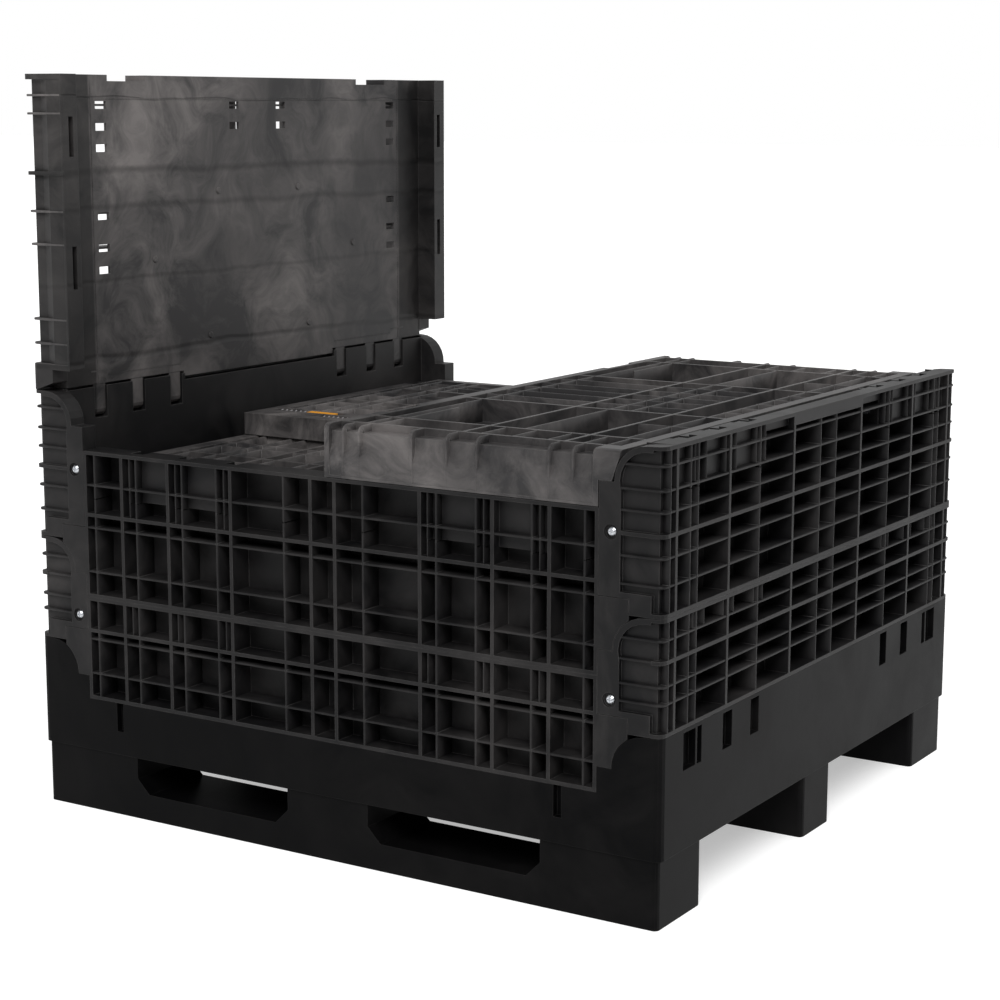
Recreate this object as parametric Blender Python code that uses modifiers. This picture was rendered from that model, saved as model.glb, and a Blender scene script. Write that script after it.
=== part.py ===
"""Collapsible bulk container: a pallet base on three runners, two fixed tiers of side panels,
and four hinged walls that fold flat inside the fixed tiers.

Frame: +X along the long side, +Y from the front to the back, +Z up, origin on the floor under the
middle of the container. The left end wall stands; the other three walls lie folded.
"""
import math

import bmesh
import bpy
from mathutils import Matrix, Vector

# ---- overall sizes (metres) ----
LENGTH = 1.219
WIDTH = 1.143
WALL_TOP = 1.256
# Places across the width, which keep their share of it.
ACROSS = WIDTH / 1.143

# ---- heights ----
RUNNER_H = 0.108
DECK_TOP = 0.150
BASE_TOP = 0.296
TIER_H = (0.179, 0.252)
STAGGER = 0.097

# ---- fixed panels ----
PANEL_T = 0.048
SKIN = 0.006
RIB = 0.006
SIDE_MARKS = (0.0235, 0.185, 0.317, 0.417)
SIDE_RIB_DROP = (0.058, 0.109)
END_MARKS = tuple(ACROSS * y for y in (0.134, 0.362, 0.5335))
END_RIB_DROP = (0.066, 0.131)
MIDDLE_REACH = 0.232 * ACROSS
SHALLOW_SIDE = 0.0155
SHALLOW_END = 0.011
CORNER_SIDE_D = 0.0120
CORNER_FACE_D = 0.0080
CORNER_COLUMN = 0.0350
PLATE_X = 0.0725
EAR_BORDER = 0.009
FLANGE_W = 0.1085
FLANGE_T = 0.033
TONGUE_T = 0.0144
CORNER_R = 0.012
SHOULDER_R = 0.054
SHOULDER_IN = 0.0295
STEP_DROP = 0.057
EAR_IN = PANEL_T + 0.0095
EAR_RISE = 0.024

# ---- gaps ----
GAP = 0.0006
FACE_GAP = 0.0003
SWING_GAP = 0.0015
SEAT_GAP = 0.001

# ---- hinges ----
AXIS_IN = 0.0320
END_AXIS_DROP = 0.0425
REBATE_DROP = 0.0145
LIP_HALF = 0.2295 * ACROSS
RIM_RELIEF = 0.003
BACK_AXIS_DROP = 0.0215
PIN_R = 0.004
PIN_HOLE_R = 0.0045
KNUCKLE_R = 0.0105
END_KNUCKLES = tuple(ACROSS * y for y in (0.254, 0.356, 0.455))
SIDE_KNUCKLES = (0.199, 0.301, 0.400)
END_TONGUE_W = 0.030
SIDE_TONGUE_W = 0.024
SLOT_SIDE_GAP = 0.0012

# ---- folding walls ----
END_WALL_T = 0.045
PIN_END = END_WALL_T - AXIS_IN + 0.002
SIDE_WALL_T = 0.0405
LEG_D = 0.0854
LEG_FIT = 0.0016
NOTCH_Y = tuple(ACROSS * y for y in (0.316, 0.414))
NOTCH_D = 0.0105
END_WALL_ROWS = (0.1575, 0.3375)
END_WALL_MARKS = tuple(ACROSS * y for y in (0.190, 0.4555, 0.5335))
LEG_ROW = 0.408
VENT_W = 0.028
VENT_H = 0.013
SIDE_VENTS = (0.432 * ACROSS, (0.051, 0.088, 0.124, 0.240, 0.295, 0.333))
MIDDLE_VENTS = (0.070 * ACROSS, (0.051, 0.088))
LEG_RECESS = 0.009
LEG_FLAT = 0.001
LEG_SLOPE = (0.0195, 0.0)
LEG_BORDER = 0.004
BOLT_SLOT_DROP = ((0.070, 0.136), (0.285, 0.357))
BOLT_SLOT_T = 0.011

# ---- latches, from the middle of the wall and down from its top edge ----
BOLT_REACH = 0.5345
LATCH_ROWS = (
    {"name": "yellow", "grip": (0.432, 0.500), "tab": (0.370, 0.430), "drop": 0.076, "reach": BOLT_REACH},
    {"name": "blue", "grip": (0.291, 0.378), "tab": (0.258, 0.289), "drop": 0.044, "reach": 0.405},
)
LATCH_H = 0.022
LATCH_T = 0.023
LATCH_DEPTH = 0.0255
LATCH_TRAVEL = 0.018
BOLT_T = 0.008
TAB_RISE = 0.002

# ---- base ----
FOOT_INSET = 0.006
FOOT_END_W = 0.2025
FOOT_MID_W = 0.160
OUTER_RUNNER_W = 0.1415
MID_RUNNER_W = 0.110
SKID_H = 0.045
SKID_CHAMFER = 0.025
FOOT_WALL = 0.010
FOOT_R = 0.008
DECK_SKIN = 0.008
END_POCKETS = ((0.443, 0.458), (0.463, 0.503), (0.340, 0.372), (0.245, 0.275))
END_POCKET_Z = (0.006, 0.064)
SIDE_POCKET = (0.4265, 0.4405)
SIDE_POCKET_DROP = 0.050
POCKET_D = 0.012

# ---- corner screws ----
SCREW_X = 0.0885
SCREW_DROP = 0.131
HEAD_R = 0.0072
HEAD_H = 0.0032
SHANK_R = 0.003
SHANK_L = 0.042
BORE_R = 0.0115
BORE_D = 0.0045
CROSS_W = 0.0018
CROSS_L = 0.0085
CROSS_D = 0.0018

# ---- derived places ----
HALF_L = LENGTH / 2
HALF_W = WIDTH / 2
END_Z = (BASE_TOP, BASE_TOP + TIER_H[0], BASE_TOP + TIER_H[0] + TIER_H[1])
SIDE_Z = tuple(z - STAGGER for z in END_Z)
INNER_X = HALF_L - PANEL_T
INNER_Y = HALF_W - PANEL_T
FLANGE_X = HALF_L - FLANGE_W
FLANGE_Y = HALF_W - FLANGE_T
END_AXIS = (HALF_L - AXIS_IN, END_Z[2] - END_AXIS_DROP)
BACK_AXIS = (HALF_W - AXIS_IN, SIDE_Z[2] - BACK_AXIS_DROP)
FRONT_AXIS = (HALF_W - AXIS_IN, BACK_AXIS[1] - SIDE_WALL_T - SWING_GAP)
SIDE_WALL_HALF = HALF_L - LEG_D - LEG_FIT


def clear_scene():
    """Remove the objects that a new file starts with."""
    for obj in list(bpy.data.objects):
        bpy.data.objects.remove(obj, do_unlink=True)


def new_collection(name, hidden=False):
    coll = bpy.data.collections.new(name)
    bpy.context.scene.collection.children.link(coll)
    coll.hide_render = hidden
    return coll


def material(name, color, rough, metal=0.0):
    mat = bpy.data.materials.new(name)
    mat.use_nodes = True
    bsdf = mat.node_tree.nodes["Principled BSDF"]
    bsdf.inputs["Base Color"].default_value = (*color, 1.0)
    bsdf.inputs["Roughness"].default_value = rough
    bsdf.inputs["Metallic"].default_value = metal
    return mat


def add_box(bm, lo, hi):
    """One closed box between two corners."""
    lo, hi = Vector(lo), Vector(hi)
    place = Matrix.Translation((lo + hi) / 2) @ Matrix.Diagonal((*(hi - lo), 1.0))
    bmesh.ops.create_cube(bm, size=1.0, matrix=place)


def add_rod(bm, start, end, radius, sides=12):
    """One closed round bar between two points."""
    start, end = Vector(start), Vector(end)
    way = end - start
    turn = way.to_track_quat("Z", "Y").to_matrix().to_4x4()
    place = Matrix.Translation((start + end) / 2) @ turn
    bmesh.ops.create_cone(
        bm, cap_ends=True, segments=sides, radius1=radius, radius2=radius, depth=way.length, matrix=place
    )


def mesh_from(name, bm):
    """A mesh of the solid, its points kept to the micron so that faces in one plane meet exactly."""
    for vert in bm.verts:
        vert.co = [round(c, 6) for c in vert.co]
    mesh = bpy.data.meshes.new(name)
    bm.to_mesh(mesh)
    bm.free()
    return mesh


def helper(name, bm):
    """An operand for a Boolean, kept in the cutters' collection and never rendered."""
    obj = bpy.data.objects.new(name, mesh_from(name, bm))
    CUTTERS.objects.link(obj)
    obj.hide_render = True
    obj.display_type = "WIRE"
    return obj


def boxes(name, corners):
    bm = bmesh.new()
    for lo, hi in corners:
        add_box(bm, lo, hi)
    return helper(name, bm)


def outline(name, points, near, far, plane):
    """A flat closed outline with thickness: (x, z) points for plane XZ, or (x, y) points for plane XY."""
    curve = bpy.data.curves.new(name, "CURVE")
    curve.dimensions = "2D"
    curve.fill_mode = "BOTH"
    curve.extrude = (far - near) / 2
    spline = curve.splines.new("POLY")
    spline.points.add(len(points) - 1)
    for point, (a, b) in zip(spline.points, points):
        point.co = (a, b, 0.0, 1.0)
    spline.use_cyclic_u = True
    flat = bpy.data.objects.new(name + "_outline", curve)
    CUTTERS.objects.link(flat)
    mesh = bpy.data.meshes.new_from_object(flat.evaluated_get(bpy.context.evaluated_depsgraph_get()))
    bpy.data.objects.remove(flat, do_unlink=True)
    mid = (near + far) / 2
    if plane == "XZ":
        turn = Matrix(((1, 0, 0, 0), (0, 0, -1, mid), (0, 1, 0, 0), (0, 0, 0, 1)))
    else:
        turn = Matrix.Translation((0, 0, mid))
    bm = bmesh.new()
    bm.from_mesh(mesh)
    bpy.data.meshes.remove(mesh)
    bmesh.ops.remove_doubles(bm, verts=bm.verts, dist=1e-6)
    for level in (-curve.extrude, curve.extrude):
        cap = [f for f in bm.faces if all(abs(v.co.z - level) < 1e-6 for v in f.verts)]
        bmesh.ops.dissolve_faces(bm, faces=cap)
    bmesh.ops.transform(bm, matrix=turn, verts=bm.verts)
    bmesh.ops.recalc_face_normals(bm, faces=bm.faces)
    return bm


def round_upright_edges(bm, x, ys, radius):
    """Round the upright edges that stand at x and at each y."""
    edges = [
        e
        for e in bm.edges
        if all(abs(abs(v.co.x) - x) < 1e-5 and min(abs(v.co.y - y) for y in ys) < 1e-5 for v in e.verts)
        and abs(e.verts[0].co.z - e.verts[1].co.z) > 1e-4
    ]
    bmesh.ops.bevel(bm, geom=edges, offset=radius, segments=3, profile=0.5, affect="EDGES", clamp_overlap=True)


def combine(obj, other, operation):
    mod = obj.modifiers.new(other.name, "BOOLEAN")
    mod.operation = operation
    mod.solver = "EXACT"
    mod.object = other


def baked(obj, name):
    """The object's shape with its modifiers, as a mesh of its own."""
    graph = bpy.context.evaluated_depsgraph_get()
    mesh = bpy.data.meshes.new_from_object(obj.evaluated_get(graph))
    mesh.name = name
    return mesh


def part(name, mesh, mat, location=(0, 0, 0), rotation=(0, 0, 0)):
    """A named piece in the container's collection."""
    obj = bpy.data.objects.new(name, mesh)
    obj.location = location
    obj.rotation_euler = rotation
    obj.data.materials.clear()
    obj.data.materials.append(mat)
    PARTS.objects.link(obj)
    return obj


def shape(name, base, joins=(), cuts=()):
    """Join and cut helper solids, and give back one mesh."""
    body = base
    for other in joins:
        combine(body, other, "UNION")
    for other in cuts:
        combine(body, other, "DIFFERENCE")
    return baked(body, name)


def prisms(name, points, rows):
    """Uprights of one outline, one for each row of heights, at the front and mirrored to the back."""
    bm = bmesh.new()
    for low, high in rows:
        for side in (1, -1):
            piece = outline(name, [(x, side * y) for x, y in points], low, high, "XY")
            mesh = mesh_from(name, piece)
            bm.from_mesh(mesh)
            bpy.data.meshes.remove(mesh)
    return helper(name, bm)


def both_ways(marks):
    return tuple(-m for m in reversed(marks)) + tuple(marks)


def spans(marks, rib):
    """The free spans between rib centre lines."""
    return [(a + rib / 2, b - rib / 2) for a, b in zip(marks, marks[1:])]


def shoulder(top, clear=0.0):
    """The rounded shoulder under a tier joint, as (x, z) from the step to the top."""
    cx, cz = HALF_L - SHOULDER_IN, top - SHOULDER_R - SEAT_GAP
    radius = SHOULDER_R + clear
    foot = math.asin(max(-1.0, min(1.0, (top - STEP_DROP + clear - cz) / radius)))
    turns = [foot + (math.pi / 2 - foot) * i / 7 for i in range(8)]
    return [(cx - radius * math.cos(a), cz + radius * math.sin(a)) for a in turns]


def flange_points(bottom, top, ear):
    """The corner flange of an end panel seen from the front, right-hand side."""
    curve = shoulder(top)
    ear_x = HALF_L - EAR_IN + GAP
    if ear:
        low = [(ear_x, bottom), (ear_x, bottom + EAR_RISE + GAP), (FLANGE_X, bottom + EAR_RISE + GAP)]
    else:
        low = [(FLANGE_X, bottom)]
    return low + [(FLANGE_X, top - STEP_DROP)] + curve + [(HALF_L, top), (HALF_L, bottom)]


def end_panel(index):
    """A fixed end panel with its two corner flanges, built on the right-hand side."""
    bottom, top = END_Z[index] + FACE_GAP, END_Z[index + 1]
    hinged = index == 1
    name = f"tier{index + 1}_end"
    slab = boxes(name + "_slab", [((INNER_X, -FLANGE_Y - 0.002, bottom), (HALF_L, FLANGE_Y + 0.002, top))])
    joins = []
    for side, (near, far) in (("front", (-HALF_W, -FLANGE_Y)), ("back", (FLANGE_Y, HALF_W))):
        bm = outline(name + side, flange_points(bottom, top, True), near, far, "XZ")
        round_upright_edges(bm, HALF_L, (near if side == "front" else far,), CORNER_R)
        joins.append(helper(f"{name}_{side}_flange", bm))
    mid = top - END_RIB_DROP[index]
    split = END_AXIS[1] - PIN_END - SKIN if hinged else top - SKIN
    deep = [
        ((INNER_X + SKIN, a, low), (HALF_L + 0.01, b, high))
        for a, b in spans(both_ways(END_MARKS), RIB)
        for low, high in ((bottom + SKIN, mid - RIB / 2), (mid + RIB / 2, split))
    ]
    cuts = [boxes(name + "_cells", deep)] + screw_bores(name, (1,), top) + corner_cuts(name, bottom, mid, top)
    if hinged:
        shallow = HALF_L - SHALLOW_END
        upper = [
            ((shallow, a, mid + RIB / 2 + 0.001), (HALF_L + 0.01, b, top - SKIN))
            for a, b in spans(both_ways(END_MARKS), RIB)
            if abs(a + b) > END_MARKS[0]
        ]
        reach = END_MARKS[0] - RIB / 2
        rim = top - REBATE_DROP - SKIN
        ends = ((-MIDDLE_REACH, -reach - RIB), (-reach, reach), (reach + RIB, MIDDLE_REACH))
        middle = [((INNER_X + SKIN, a, split - 0.002), (HALF_L + 0.01, b, rim)) for a, b in ends]
        cuts += [boxes(name + "_upper_cells", upper), boxes(name + "_middle_cell", middle)]
    if hinged:
        cuts += end_hinge_cuts(name, top)
    return shape(name, slab, joins, cuts)


def corner_cuts(name, bottom, mid, top):
    """Recesses on the rounded corners, round a flat plate for the screws and a border at ear and shoulder."""
    face, side = -HALF_W + CORNER_FACE_D, HALF_L - CORNER_SIDE_D
    far = (HALF_L + 0.02, -HALF_W - 0.02)
    column = -HALF_W + CORNER_COLUMN
    right = HALF_L - SHOULDER_IN + EAR_BORDER
    wrap = [far, (far[0], column), (side, column), (side, face), (right, face), (right, far[1])]
    rows = ((bottom + SKIN, mid - RIB / 2), (mid + RIB / 2, top - SKIN))
    plate = HALF_L - PLATE_X
    flat = [(right + 0.001, far[1]), (right + 0.001, face), (plate, face), (plate, far[1])]
    low, high = bottom + EAR_RISE + EAR_BORDER, top - STEP_DROP - EAR_BORDER
    flat_rows = ((low, mid - RIB / 2), (mid + RIB / 2, high)) if high > mid + RIB else ((low, high),)
    crown = top - SEAT_GAP - EAR_BORDER
    edge, foot = right + 0.0015, high - 0.0005
    arch = [(edge, foot), (plate, foot), *shoulder(top, -EAR_BORDER), (edge, crown)]
    cuts = [prisms(name + "_corner", wrap, rows), prisms(name + "_flange_recess", flat, flat_rows)]
    for side, (near, deep) in (("front", (far[1], face)), ("back", (-face, -far[1]))):
        cuts.append(helper(f"{name}_{side}_arch", outline(name + side + "arch", arch, near, deep, "XZ")))
    return cuts


def end_hinge_cuts(name, top):
    """Knuckle slots, the rebate for the wall's lip, the rim's relief for the swing, and the two pin holes."""
    half = END_TONGUE_W / 2 + SLOT_SIDE_GAP
    x, z = END_AXIS
    slots = [
        ((INNER_X - 0.01, s * c - half, z - PIN_END), (x + PIN_END, s * c + half, top + 0.01))
        for s in (-1, 1)
        for c in END_KNUCKLES
    ]
    rebate = [((INNER_X - 0.01, -LIP_HALF, top - REBATE_DROP), (x + 0.002, LIP_HALF, top + 0.01))]
    bm = bmesh.new()
    for s in (-1, 1):
        a, b = pin_ends(END_KNUCKLES, half)
        add_rod(bm, (x, s * a, z), (x, s * b, z), PIN_HOLE_R)
    relief = [((INNER_X - 0.01, -FLANGE_Y, top - RIM_RELIEF), (x, FLANGE_Y, top + 0.01))]
    return [
        boxes(name + "_slots", slots),
        boxes(name + "_rebate", rebate),
        boxes(name + "_relief", relief),
        helper(name + "_pin_holes", bm),
    ]


def pin_ends(knuckles, half):
    """Where the hole for a group's pin starts and ends."""
    return knuckles[0] - half - PIN_END, knuckles[-1] + half + PIN_END


def screw_bores(name, sides, top):
    """Counterbores and through holes for the corner screws, at front and back."""
    heads, holes = bmesh.new(), bmesh.new()
    x, z = HALF_L - SCREW_X, top - SCREW_DROP
    for sx in sides:
        for sy in (-1, 1):
            seat, face, back = (Vector((sx * x, sy * y, z)) for y in (HALF_W - BORE_D, HALF_W + 0.01, INNER_Y - 0.004))
            add_rod(heads, seat, face, BORE_R, 16)
            add_rod(holes, back, face, SHANK_R + GAP, 10)
    return [helper(name + "_heads", heads), helper(name + "_bores", holes)]


def side_panel(index):
    """A fixed long-side panel with its ears and the tongues behind the corner flanges, built at the front."""
    bottom, top = SIDE_Z[index] + FACE_GAP, SIDE_Z[index + 1]
    joint = END_Z[index]
    name = f"tier{index + 1}_side"
    ear_top = joint + EAR_RISE
    curve = shoulder(joint, GAP)
    right = [(x, z) for x, z in reversed(curve) if x < HALF_L - EAR_IN]
    cx, cz = HALF_L - SHOULDER_IN, joint - SHOULDER_R - SEAT_GAP
    edge = cz + math.sqrt((SHOULDER_R + GAP) ** 2 - (SHOULDER_IN - EAR_IN) ** 2)
    ear = [(HALF_L - EAR_IN, ear_top), (HALF_L - EAR_IN, edge)] + right
    ear.append((FLANGE_X - GAP, joint - STEP_DROP + GAP))
    body = [(FLANGE_X - GAP, top), (FLANGE_X - GAP, ear_top)] + ear + [(FLANGE_X - GAP, bottom)]
    points = body + [(-x, z) for x, z in reversed(body)]
    face = outline(name, points, -HALF_W, -FLANGE_Y, "XZ")
    base = helper(name + "_face", face)
    slab = boxes(
        name + "_slab",
        [((-FLANGE_X + GAP, -FLANGE_Y - 0.004, bottom), (FLANGE_X - GAP, -INNER_Y, top))],
    )
    tongue = boxes(
        name + "_tongue",
        [((-INNER_X + GAP, -INNER_Y - TONGUE_T, bottom), (INNER_X - GAP, -INNER_Y, top))],
    )
    hinged = index == 1
    mid = top - SIDE_RIB_DROP[index]
    ledge = FRONT_AXIS[1] - KNUCKLE_R - SKIN if hinged else top - SKIN
    edge = FLANGE_X - GAP
    marks = both_ways(SIDE_MARKS + (edge - RIB / 2,))
    deep, shallow = [], []
    for a, b in spans(marks, RIB):
        at_knuckles = any(a < s * c < b for s in (-1, 1) for c in SIDE_KNUCKLES)
        high = ledge if at_knuckles else top - SKIN
        back = -INNER_Y - SKIN
        deep.append(((a, -HALF_W - 0.01, bottom + SKIN), (b, back, mid - RIB / 2)))
        deep.append(((a, -HALF_W - 0.01, mid + RIB / 2), (b, back, high)))
        if hinged and at_knuckles:
            shallow.append(((a, -HALF_W - 0.01, ledge - 0.002), (b, -HALF_W + SHALLOW_SIDE, top - SKIN)))
    cuts = [boxes(name + "_cells", deep)] + screw_bores(name, (-1, 1), END_Z[index + 1])
    if shallow:
        cuts.append(boxes(name + "_knuckle_cells", shallow))
    return name, base, [slab, tongue], cuts, top


def side_hinge_cuts(name, axis, top):
    """Knuckle slots and pin holes for one long wall, in the front panel's place."""
    half = SIDE_TONGUE_W / 2 + SLOT_SIDE_GAP
    y, z = -axis[0], axis[1]
    slots = [
        ((s * c - half, y - KNUCKLE_R, z - KNUCKLE_R), (s * c + half, -INNER_Y + 0.01, top + 0.01))
        for s in (-1, 1)
        for c in SIDE_KNUCKLES
    ]
    bm = bmesh.new()
    for s in (-1, 1):
        a, b = pin_ends(SIDE_KNUCKLES, half)
        add_rod(bm, (s * a, y, z), (s * b, y, z), PIN_HOLE_R)
    return [boxes(name + "_slots", slots), helper(name + "_pin_holes", bm)]


def end_wall():
    """A folding end wall, upright on the right-hand side, with its hinge axis at the origin."""
    ax, az = END_AXIS
    top = WALL_TOP - az
    out, inn = AXIS_IN, -(END_WALL_T - AXIS_IN)
    lip = math.hypot(ax - INNER_X, END_Z[2] - REBATE_DROP - az) + SWING_GAP
    foot = END_Z[2] - az + SEAT_GAP
    edge = LIP_HALF - SWING_GAP
    half = FLANGE_Y - SWING_GAP
    slab = boxes("end_wall_slab", [((inn, -half, foot), (out, half, top))])
    joins = [boxes("end_wall_lip", [((inn, -edge, lip), (0.0, edge, foot + 0.01))])]
    leg_in = out - LEG_D
    leg_foot = ax - FLANGE_X + SWING_GAP + GAP
    points = [
        (out, foot),
        (out - 0.010, foot),
        (-0.014, foot + 0.0128),
        (-0.014, leg_foot),
        (leg_in, leg_foot),
        (leg_in, top),
        (out, top),
    ]
    for side, (near, far) in (("front", (-HALF_W, 0.002 - half)), ("back", (half - 0.002, HALF_W))):
        bm = outline("leg" + side, points, near, far, "XZ")
        round_upright_edges(bm, out, (near if side == "front" else far,), CORNER_R)
        joins.append(helper("end_wall_leg_" + side, bm))
    bm = bmesh.new()
    half = END_TONGUE_W / 2
    for s in (-1, 1):
        for c in END_KNUCKLES:
            add_box(bm, (inn + 0.0005, s * c - half, 0.0), (-inn - 0.0005, s * c + half, foot + 0.008))
    joins.append(helper("end_wall_tongues", bm))
    bm = bmesh.new()
    for s in (-1, 1):
        for c in END_KNUCKLES:
            add_rod(bm, (0, s * c - half, 0), (0, s * c + half, 0), -inn - 0.0003)
    joins.append(helper("end_wall_knuckles", bm))
    cuts = end_wall_cuts(top, out, inn, leg_in, foot, leg_foot)
    return shape("end_wall", slab, joins, cuts)


def end_wall_cuts(top, out, inn, leg_in, foot, leg_foot):
    """Rib cells, leg slots, top notches and pin holes of an end wall."""
    rows = (foot + 0.017,) + END_WALL_ROWS + (top - NOTCH_D - RIB,)
    cells = [
        ((inn + SKIN, a, low), (out + 0.01, b, high))
        for a, b in spans(both_ways(END_WALL_MARKS), RIB)
        for low, high in spans(rows, RIB)
    ]
    far, column = -HALF_W - 0.02, -HALF_W + CORNER_COLUMN
    deep, flat = -HALF_W + LEG_RECESS, -HALF_W + LEG_FLAT
    leg = [
        (out + 0.02, far), (out + 0.02, column), (out - CORNER_SIDE_D, column), (out - CORNER_SIDE_D, deep),
        (LEG_SLOPE[1], deep), (-LEG_SLOPE[0], flat), (leg_in + LEG_BORDER, flat), (leg_in + LEG_BORDER, far),
    ]
    leg_rows = spans((leg_foot + RIB, LEG_ROW, top - RIB), RIB)
    slot_y = FLANGE_Y + 0.0065
    slots = [
        ((leg_in - 0.01, min(s * slot_y, s * (slot_y + BOLT_SLOT_T)), top - b),
         (leg_in + 0.025, max(s * slot_y, s * (slot_y + BOLT_SLOT_T)), top - a))
        for s in (-1, 1)
        for a, b in BOLT_SLOT_DROP
    ]
    notches = [
        ((inn - 0.01, min(s * NOTCH_Y[0], s * NOTCH_Y[1]), top - NOTCH_D),
         (out + 0.01, max(s * NOTCH_Y[0], s * NOTCH_Y[1]), top + 0.01))
        for s in (-1, 1)
    ]
    bm = bmesh.new()
    for s in (-1, 1):
        add_rod(bm, (0, s * 0.2 * ACROSS, 0), (0, s * 0.5 * ACROSS, 0), PIN_HOLE_R)
    half_w, half_h = VENT_W / 2, VENT_H / 2
    vents = [
        ((inn - 0.01, s * y - half_w, top - drop - half_h), (inn + SKIN + 0.004, s * y + half_w, top - drop + half_h))
        for s in (-1, 1)
        for y, drops in (SIDE_VENTS, MIDDLE_VENTS)
        for drop in drops
    ]
    return [
        boxes("end_wall_cells", cells),
        boxes("end_wall_vents", vents),
        prisms("end_wall_leg_recess", leg, leg_rows),
        boxes("end_wall_slots", slots),
        boxes("end_wall_notches", notches),
        helper("end_wall_pin_holes", bm),
    ]


def side_wall(name, axis):
    """A folding long wall, upright at the back, with its hinge axis at the origin."""
    az = axis[1]
    top = WALL_TOP - az
    out, inn = AXIS_IN, -(SIDE_WALL_T - AXIS_IN)
    foot = math.hypot(PANEL_T - AXIS_IN, SIDE_Z[2] - az) + SWING_GAP
    wide_foot = END_Z[2] - az + 2 * SEAT_GAP
    narrow = FLANGE_X - SWING_GAP
    points = [
        (-narrow, foot), (narrow, foot), (narrow, wide_foot), (SIDE_WALL_HALF, wide_foot),
        (SIDE_WALL_HALF, top), (-SIDE_WALL_HALF, top), (-SIDE_WALL_HALF, wide_foot), (-narrow, wide_foot),
    ]
    slab = helper(name + "_slab", outline(name, points, inn, out, "XZ"))
    half = SIDE_TONGUE_W / 2
    bm, rods, holes = bmesh.new(), bmesh.new(), bmesh.new()
    for s in (-1, 1):
        for c in SIDE_KNUCKLES:
            add_box(bm, (s * c - half, inn + 0.0005, 0.0), (s * c + half, -inn - 0.0005, foot + 0.012))
            add_rod(rods, (s * c - half, 0, 0), (s * c + half, 0, 0), -inn - 0.0003)
        add_rod(holes, (s * 0.15, 0, 0), (s * 0.45, 0, 0), PIN_HOLE_R)
    joins = [helper(name + "_tongues", bm), helper(name + "_knuckles", rods)]
    latch_low = top - LATCH_ROWS[0]["drop"] - LATCH_H / 2 - RIB
    marks = both_ways(SIDE_MARKS[:3] + (narrow - RIB / 2,))
    rows = [foot + 0.018, (foot + latch_low) / 3, 2 * (foot + latch_low) / 3, latch_low]
    cells = [
        ((a, inn + SKIN, low), (b, out + 0.01, high))
        for a, b in spans(marks, RIB)
        for low, high in spans(rows, RIB)
    ]
    cuts = [boxes(name + "_cells", cells), helper(name + "_pin_holes", holes)]
    for row in LATCH_ROWS:
        cuts += latch_pockets(f"{name}_{row['name']}", row, top, out)
    return shape(name, slab, joins, cuts)


def latch_pockets(name, row, top, out):
    """The channel each slide runs in, and a narrower way out for its bolt."""
    z, floor = top - row["drop"], out - LATCH_DEPTH
    inner, outer = row["tab"][0] - LATCH_TRAVEL - 0.002, row["grip"][1] + 0.002
    wide, thin = LATCH_H / 2 + GAP, BOLT_T / 2 + GAP
    channels, bolts = [], []
    for s in (-1, 1):
        a, b = sorted((s * inner, s * outer))
        channels.append(((a, floor, z - wide), (b, out + 0.01, z + wide)))
        a, b = sorted((s * (outer - 0.004), s * (row["reach"] + 0.002)))
        bolts.append(((a, floor + 0.0005, z - thin), (b, floor + 0.002 + BOLT_T + GAP, z + thin)))
    return [boxes(name + "_channel", channels), boxes(name + "_way", bolts)]


def latch_slide(row, side, top):
    """A black slide with a ribbed grip and a bolt, in the upright long wall's frame."""
    out = AXIS_IN
    floor = out - LATCH_DEPTH
    z = top - row["drop"]
    name = f"slide_{row['name']}"
    grip = sorted((side * row["grip"][0], side * row["grip"][1]))
    tab = sorted((side * row["tab"][0], side * row["tab"][1]))
    plate = sorted((side * row["tab"][0], side * row["grip"][1]))
    reach = sorted((side * (row["grip"][1] - 0.006), side * row["reach"]))
    low, high = z - LATCH_H / 2, z + LATCH_H / 2
    base = boxes(name + "_plate", [((plate[0], floor + GAP, low), (plate[1], floor + 0.004, high))])
    pad = boxes(name + "_pad", [((grip[0], floor + 0.003, low), (grip[1], floor + LATCH_T, high))])
    back, low, high = floor + 0.001, z - BOLT_T / 2, z + BOLT_T / 2
    bolt = boxes(name + "_bolt", [((reach[0], back + GAP, low), (reach[1], back + BOLT_T, high))])
    return shape(name, base, [pad, bolt]), tab


def latch_tab(row, tab, top):
    """The coloured block fixed on the slide beside its grip."""
    floor = AXIS_IN - LATCH_DEPTH
    z = top - row["drop"]
    bm = bmesh.new()
    add_box(
        bm,
        (tab[0], floor + 0.004 + FACE_GAP, z - LATCH_H / 2 + 0.001),
        (tab[1], floor + LATCH_T + TAB_RISE, z + LATCH_H / 2 - 0.001),
    )
    return mesh_from("tab_" + row["name"], bm)


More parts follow.
